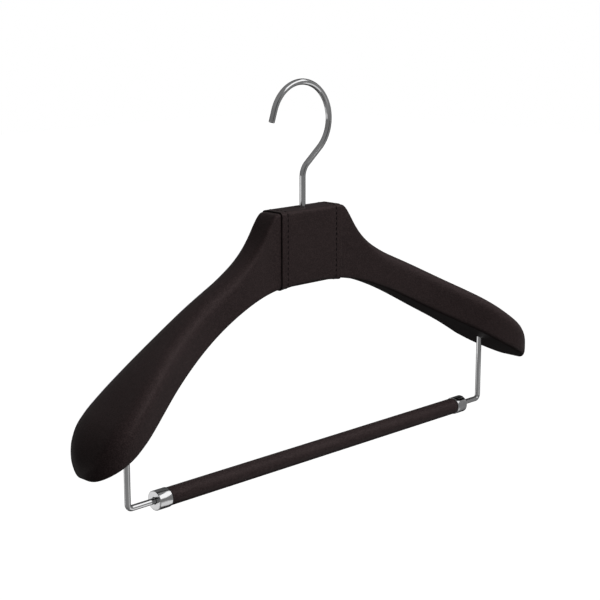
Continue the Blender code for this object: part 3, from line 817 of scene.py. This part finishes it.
def cover_stations(inset):
    """Places along an arm, close together at the neck's flare and at the rounded end."""
    flare_end = NECK_HALF_WIDTH + FLARE_SHARE * ARM_LENGTH
    end_start = HALF_SPAN - END_PLAN_LENGTH
    neck = np.linspace(COVER_EDGE, NECK_HALF_WIDTH, NECK_ROWS)
    flare = np.linspace(NECK_HALF_WIDTH, flare_end, FLARE_ROWS)[1:]
    arm = np.linspace(flare_end, end_start, ARM_ROWS)[1:]
    turns = np.linspace(0, LAST_TURN, END_ROWS)[1:]
    end = end_start + (END_PLAN_LENGTH - inset) * np.sin(turns)
    return np.concatenate([neck, flare, arm, end])


def make_cover(side, skin, leather):
    """The leather drawn over one arm, with the hole for the wire."""
    sign = SIDES[side]
    outer = [skin_ring(skin, sign * x, 0.0) for x in cover_stations(0.0)]
    inner_stations = cover_stations(COVER_THICKNESS)[::INNER_ROW_STEP]
    inner = [skin_ring(skin, sign * x, COVER_THICKNESS) for x in inner_stations]
    mesh = mesh_from_rings(f"leather_{side}", inner[::-1] + outer)
    cover = add_piece(f"leather_{side}", mesh, "hanger", leather, "leather", f"cover_{side}")
    seat = NECK_TOP + skin.underside(BRACKET_X)
    hole = BRACKET_WIRE_RADIUS + BRACKET_HOLE_GAP
    low = seat - DRILL_REACH * COVER_THICKNESS
    cut_hole(cover, hole, low, seat + BRACKET_SEAT, sign * BRACKET_X, bracket_y(skin))


def groove_inset(x):
    """How far the stitching's groove lowers the band's surface at x."""
    share = abs(abs(x) - STITCH_X) / (GROOVE_WIDTH / 2)
    if share >= 1:
        return 0.0
    return GROOVE_DEPTH * (1 + math.cos(math.pi * share)) / 2


def band_profile():
    """Stations (x, inset) across the band's outer face, round its edges and under them."""
    groove_start = STITCH_X - GROOVE_WIDTH / 2
    groove_end = STITCH_X + GROOVE_WIDTH / 2
    edge_start = BAND_HALF_WIDTH - BAND_EDGE_ROUND
    places = list(np.linspace(0, groove_start, BAND_MIDDLE_ROWS))
    places += list(np.linspace(groove_start, groove_end, BAND_GROOVE_ROWS)[1:])
    places += list(np.linspace(groove_end, edge_start, BAND_RIM_ROWS)[1:])
    half = [(x, groove_inset(x) - BAND_PROUD) for x in places]
    for a in quarter_turn(BAND_EDGE_STEPS)[1:]:
        x = edge_start + BAND_EDGE_ROUND * math.sin(a)
        half.append((x, BAND_EDGE_ROUND * (1 - math.cos(a)) - BAND_PROUD))
    half.append((BAND_HALF_WIDTH, BAND_TUCK))
    return [(-x, inset) for x, inset in reversed(half[1:])] + half


def make_band(skin, leather, edge_paint):
    """The leather band round the neck, with painted edges and a hole for the hook."""
    rings = [skin_ring(skin, x, inset) for x, inset in band_profile()]
    mesh = mesh_from_rings("leather_band", rings, closed_chain=True)
    band = add_piece("leather_band", mesh, "hanger", leather, "band_leather", "neck_band")
    band.data.materials.append(edge_paint)
    for face in band.data.polygons:
        if abs(face.center.x) > BAND_HALF_WIDTH - BAND_EDGE_ROUND / 2:
            face.material_index = 1
    reach = DRILL_REACH * BAND_THICKNESS
    cut_hole(band, HOOK_WIRE_RADIUS + GAP, BAND_TOP - reach, BAND_TOP + reach, 0, 0)


def stitch_points(section, pitch):
    """Evenly spaced places round a closed section, each with its direction."""
    closed = np.vstack([section, section[:1]])
    steps = np.linalg.norm(np.diff(closed, axis=0), axis=1)
    along = np.concatenate([[0.0], np.cumsum(steps)])
    count = round(along[-1] / pitch)
    places = []
    for i in range(count):
        distance = (i + 0.5) * along[-1] / count
        behind, here, ahead = (
            Vector([np.interp(distance + step, along, closed[:, k]) for k in range(3)])
            for step in (-STITCH_AIM_SHARE * pitch, 0, STITCH_AIM_SHARE * pitch)
        )
        places.append((here, (ahead - behind).normalized()))
    return places


def stitch_rings(place, along, outwards):
    """One stitch: a flattened length of thread, sunk at both its ends."""
    across = along.cross(outwards).normalized()
    run = (along * math.cos(STITCH_SLANT) + across * math.sin(STITCH_SLANT)).normalized()
    beside = run.cross(outwards).normalized()
    rings = []
    for t in np.linspace(-1, 1, STITCH_ROWS):
        bulge = math.sqrt(max(1 - t**STITCH_TAPER_POWER, STITCH_END_SHARE))
        sink = STITCH_SINK_SHARE * STITCH_HEIGHT * t * t
        middle = place + run * (t * STITCH_LENGTH / 2) - outwards * sink
        ring = []
        for k in range(STITCH_SIDES):
            a = 2 * math.pi * k / STITCH_SIDES
            wide = beside * (math.cos(a) * bulge * STITCH_WIDTH / 2)
            high = outwards * (math.sin(a) * bulge * STITCH_HEIGHT / 2)
            ring.append(tuple(middle + wide + high))
        rings.append(np.array(ring))
    return rings


def make_stitches(side, skin, thread):
    """The band's line of stitching near one edge, as separate stitches round the neck."""
    x = SIDES[side] * STITCH_X
    section = skin_ring(skin, x, GROOVE_DEPTH - BAND_PROUD)
    centre = Vector(section.mean(axis=0))
    meshes = []
    for place, along in stitch_points(section, STITCH_PITCH):
        outwards = along.cross(Vector((1, 0, 0))).normalized()
        if outwards.dot(place - centre) < 0:
            outwards.negate()
        lifted = place + outwards * (STITCH_LIFT_SHARE * STITCH_HEIGHT)
        meshes.append(mesh_from_rings("stitch", stitch_rings(lifted, along, outwards)))
    mesh = joined_mesh(f"stitches_{side}", meshes)
    add_piece(f"stitches_{side}", mesh, "hanger", thread, "thread", f"band_thread_{side}")


def joined_mesh(name, meshes):
    """One mesh of all the given ones, which are removed."""
    points = []
    faces = []
    for mesh in meshes:
        start = len(points)
        points += [tuple(v.co) for v in mesh.vertices]
        faces += [tuple(start + i for i in face.vertices) for face in mesh.polygons]
        bpy.data.meshes.remove(mesh)
    joined = bpy.data.meshes.new(name)
    joined.from_pydata(points, [], faces)
    joined.shade_smooth()
    return joined


def bracket_y(skin):
    """The y of the wires and the bar."""
    return skin.middle(BRACKET_X) - BRACKET_FORWARD


def make_bracket(side, skin, chrome):
    """A wire that drops from the shoulder, bends inwards and runs into the bar's end."""
    sign = SIDES[side]
    y = bracket_y(skin)
    top = NECK_TOP + skin.underside(BRACKET_X) + BRACKET_SEAT
    centre = (BRACKET_X - BRACKET_BEND_RADIUS, BAR_HEIGHT + BRACKET_BEND_RADIUS)
    line = [(BRACKET_X, z) for z in (top, centre[1] + BRACKET_STRAIGHT_ABOVE, centre[1])]
    line += arc_points(centre, BRACKET_BEND_RADIUS, 0, -math.pi / 2, BRACKET_ARC_STEP)
    line += [(x, BAR_HEIGHT) for x in (centre[0] - BRACKET_STRAIGHT_BESIDE, BRACKET_X - BRACKET_LEG)]
    points = [(sign * x, y, z) for x, z in line]
    name = f"bracket_polished_{side}"
    mesh = wire_mesh(name, points, BRACKET_WIRE_RADIUS, BRACKET_END_EDGE)
    add_piece(name, mesh, "hanger", chrome, "chrome", f"bracket_wire_{side}")


def make_bar(skin, leather, chrome):
    """The leather of the trouser bar and its two chrome ferrules."""
    place = (0.0, bracket_y(skin), BAR_HEIGHT)
    inner = BAR_TUBE_RADIUS + GAP
    outer = inner + BAR_COVER_THICKNESS
    half = BAR_HALF_LENGTH - FERRULE_LENGTH - GAP
    edge = [
        (half - BAR_COVER_EDGE * (1 - math.sin(a)), outer - BAR_COVER_EDGE * (1 - math.cos(a)))
        for a in quarter_turn(BAR_EDGE_STEPS)
    ]
    other_edge = [(-x, radius) for x, radius in reversed(edge)]
    straight = half - BAR_COVER_EDGE
    middle = [(x, outer) for x in np.linspace(-straight, straight, BAR_ROWS)[1:-1]]
    profile = [(-half, inner)] + other_edge + middle + edge + [(half, inner)]
    mesh = mesh_from_rings("bar_leather", turned_rings(profile, place), closed_chain=True)
    add_piece("bar_leather", mesh, "trouser_bar", leather, "bar_leather", "bar_cover")
    for side, sign in SIDES.items():
        name = f"ferrule_polished_{side}"
        profile = [(sign * x, radius) for x, radius in ferrule_profile(inner)]
        mesh = mesh_from_rings(name, turned_rings(profile, place), closed_chain=True)
        add_piece(name, mesh, "trouser_bar", chrome, "chrome", f"bar_ferrule_{side}")


def ferrule_profile(bore):
    """Profile (x, radius) of the right ferrule, with eased edges."""
    end = BAR_HALF_LENGTH
    low = end - FERRULE_LENGTH
    hole = BRACKET_WIRE_RADIUS + GAP
    turns = quarter_turn(METAL_EDGE_STEPS)
    profile = [(low, bore), (low, FERRULE_RADIUS - FERRULE_EDGE)]
    for a in turns[1:]:
        back = FERRULE_EDGE * (1 - math.cos(a))
        profile.append((low + back, FERRULE_RADIUS - FERRULE_EDGE * (1 - math.sin(a))))
    for a in turns:
        out = FERRULE_EDGE * math.sin(a)
        profile.append((end - FERRULE_EDGE + out, FERRULE_RADIUS - FERRULE_EDGE * (1 - math.cos(a))))
    for a in turns:
        back = FERRULE_HOLE_EDGE * (1 - math.cos(a))
        profile.append((end - back, hole + FERRULE_HOLE_EDGE * (1 - math.sin(a))))
    profile += [(end - FERRULE_END_WALL, hole), (end - FERRULE_END_WALL, bore)]
    return profile


def finish_hidden_nodes():
    """Materials of the solids that stay as they are, inside the leather and the bar."""
    beech = wood_material("beech", BEECH_LIGHT, BEECH_DARK, BEECH_GRAINS, BEECH_SQUEEZE)
    plywood = wood_material("plywood", PLYWOOD_LIGHT, PLYWOOD_DARK, PLYWOOD_GRAINS, PLYWOOD_SQUEEZE)
    steel = metal_material("steel", STEEL_COLOUR, STEEL_ROUGHNESS)
    brass = metal_material("brass", BRASS_COLOUR, BRASS_ROUGHNESS)
    nylon = nylon_material()
    finishes = {
        "core_left": beech,
        "core_right": beech,
        "core_tongue_upper": plywood,
        "core_tongue_lower": plywood,
        "hook_nut": steel,
        "hook_washer": steel,
        "hook_bush": brass,
        "bar_tube": steel,
        "bar_bush_left": nylon,
        "bar_bush_right": nylon,
    }
    for node, material in finishes.items():
        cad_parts[node].data.materials.clear()
        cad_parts[node].data.materials.append(material)


def make_floor():
    """A plain grey floor far under the hanging object, which looks white to the camera."""
    corners = [(x, y, NECK_TOP - FLOOR_DROP) for x, y in ((-1, -1), (1, -1), (1, 1), (-1, 1))]
    points = [(x * FLOOR_HALF, y * FLOOR_HALF, z) for x, y, z in corners]
    mesh = bpy.data.meshes.new("floor")
    mesh.from_pydata(points, [], [(0, 1, 2, 3)])
    floor = add_object("floor", mesh)
    material, tree, shader = new_material("floor")
    shader.inputs["Base Color"].default_value = (*FLOOR_COLOUR, 1.0)
    shader.inputs["Roughness"].default_value = FLOOR_ROUGHNESS
    shader.inputs["Specular IOR Level"].default_value = FLOOR_SPECULAR
    shader.inputs["Emission Color"].default_value = (*WHITE, 1.0)
    glow = add_node(tree, "ShaderNodeMath", operation="MULTIPLY")
    glow.inputs[1].default_value = FLOOR_GLOW
    tree.links.new(seen_directly(tree), glow.inputs[0])
    tree.links.new(glow.outputs[0], shader.inputs["Emission Strength"])
    floor.data.materials.append(material)


def seen_directly(tree):
    """One for the camera's rays and for what mirrors and glass show, and nought for the rest."""
    rays = add_node(tree, "ShaderNodeLightPath")
    first = add_node(tree, "ShaderNodeMath", operation="MAXIMUM")
    tree.links.new(rays.outputs["Is Camera Ray"], first.inputs[0])
    tree.links.new(rays.outputs["Is Glossy Ray"], first.inputs[1])
    second = add_node(tree, "ShaderNodeMath", operation="MAXIMUM")
    tree.links.new(first.outputs[0], second.inputs[0])
    tree.links.new(rays.outputs["Is Transmission Ray"], second.inputs[1])
    return second.outputs[0]


def make_world():
    """A white surround that lights the object at a plain level."""
    world = bpy.data.worlds.new("studio")
    bpy.context.scene.world = world
    world.use_nodes = True
    tree = world.node_tree
    background = tree.nodes["Background"]
    background.inputs["Color"].default_value = (*WHITE, 1.0)
    strength = ranged(tree, seen_directly(tree), 0.0, 1.0, WORLD_STRENGTH, 1.0)
    tree.links.new(strength, background.inputs["Strength"])


def away(azimuth, elevation):
    """The direction from the hanger at these angles in radians. Azimuth 0 is straight in front of it."""
    level = math.cos(elevation)
    return Vector((math.sin(azimuth) * level, -math.cos(azimuth) * level, math.sin(elevation)))


def add_softbox(name, azimuth, elevation, distance, size, power):
    """An area light that faces the hanger's middle."""
    outwards = away(math.radians(azimuth), math.radians(elevation))
    light = bpy.data.lights.new(name, "AREA")
    light.shape = "RECTANGLE"
    light.size, light.size_y = size
    light.energy = power
    softbox = add_object(name, light)
    softbox.location = STAGE_MIDDLE + outwards * distance
    softbox.rotation_mode = "QUATERNION"
    softbox.rotation_quaternion = (-outwards).to_track_quat("-Z", "Y")
    softbox.visible_camera = False
    softbox.visible_glossy = False


def add_glowing_panel(name, elevations, low_azimuths, high_azimuths, distance, brightness):
    """A bent grey panel that glows though it is no lamp, seen only in reflections: a painted reflection.
    """
    widest = max(low_azimuths[1] - low_azimuths[0], high_azimuths[1] - high_azimuths[0])
    wide = round(widest / PANEL_STEP) + 1
    high = round((elevations[1] - elevations[0]) / PANEL_STEP) + 1
    points = []
    for t in np.linspace(0, 1, high):
        elevation = math.radians(elevations[0] + (elevations[1] - elevations[0]) * t)
        first = low_azimuths[0] + (high_azimuths[0] - low_azimuths[0]) * t
        last = low_azimuths[1] + (high_azimuths[1] - low_azimuths[1]) * t
        for azimuth in np.radians(np.linspace(first, last, wide)):
            points.append(STAGE_MIDDLE + distance * away(azimuth, elevation))
    faces = [
        (k, k + 1, k + wide + 1, k + wide)
        for row in range(high - 1)
        for k in range(row * wide, row * wide + wide - 1)
    ]
    mesh = bpy.data.meshes.new(name)
    mesh.from_pydata(points, [], faces)
    panel = add_object(name, mesh)
    material, _, shader = new_material(name)
    shader.inputs["Base Color"].default_value = (*BLACK, 1.0)
    shader.inputs["Specular IOR Level"].default_value = 0.0
    # Painted reflection: the panel glows, and only glossy rays see it
    shader.inputs["Emission Color"].default_value = (*WHITE, 1.0)
    shader.inputs["Emission Strength"].default_value = brightness
    panel.data.materials.append(material)
    panel.visible_camera = False
    panel.visible_diffuse = False
    panel.visible_shadow = False
    panel.visible_transmission = False


def make_lights():
    """The lamps, and the glowing panels that paint reflections."""
    for softbox in SOFTBOXES:
        add_softbox(*softbox)
    for panel in GLOWING_PANELS:
        add_glowing_panel(*panel)


def make_camera():
    """The camera that took the photograph, as far as the fit could tell."""
    data = bpy.data.cameras.new("camera")
    data.lens = CAMERA_LENS_MM
    data.sensor_width = CAMERA_SENSOR_MM
    data.clip_start = CAMERA_NEAR
    data.clip_end = CAMERA_FAR
    camera = add_object("camera", data)
    camera.location = CAMERA_PLACE
    inwards = -away(CAMERA_AZIMUTH, CAMERA_ELEVATION)
    camera.rotation_mode = "QUATERNION"
    camera.rotation_quaternion = inwards.to_track_quat("-Z", "Y")
    bpy.context.scene.camera = camera


def main():
    """Sets up the studio, then makes every piece."""
    bpy.context.scene.view_settings.view_transform = "Standard"
    make_camera()
    make_world()
    make_lights()
    make_floor()
    skin = Skin()
    leather = leather_material("leather", COVER_ROUGHNESS)
    bar_leather = leather_material("bar_leather", BAR_ROUGHNESS)
    thread = thread_material()
    wire_chrome = chrome_material("wire_chrome", WIRE_LINE_SQUEEZE)
    bar_chrome = chrome_material("bar_chrome", FERRULE_LINE_SQUEEZE)
    make_hook(wire_chrome)
    for side in SIDES:
        make_cover(side, skin, leather)
        make_stitches(side, skin, thread)
        make_bracket(side, skin, wire_chrome)
    make_band(skin, leather, edge_paint_material())
    make_bar(skin, bar_leather, bar_chrome)
    finish_hidden_nodes()


main()
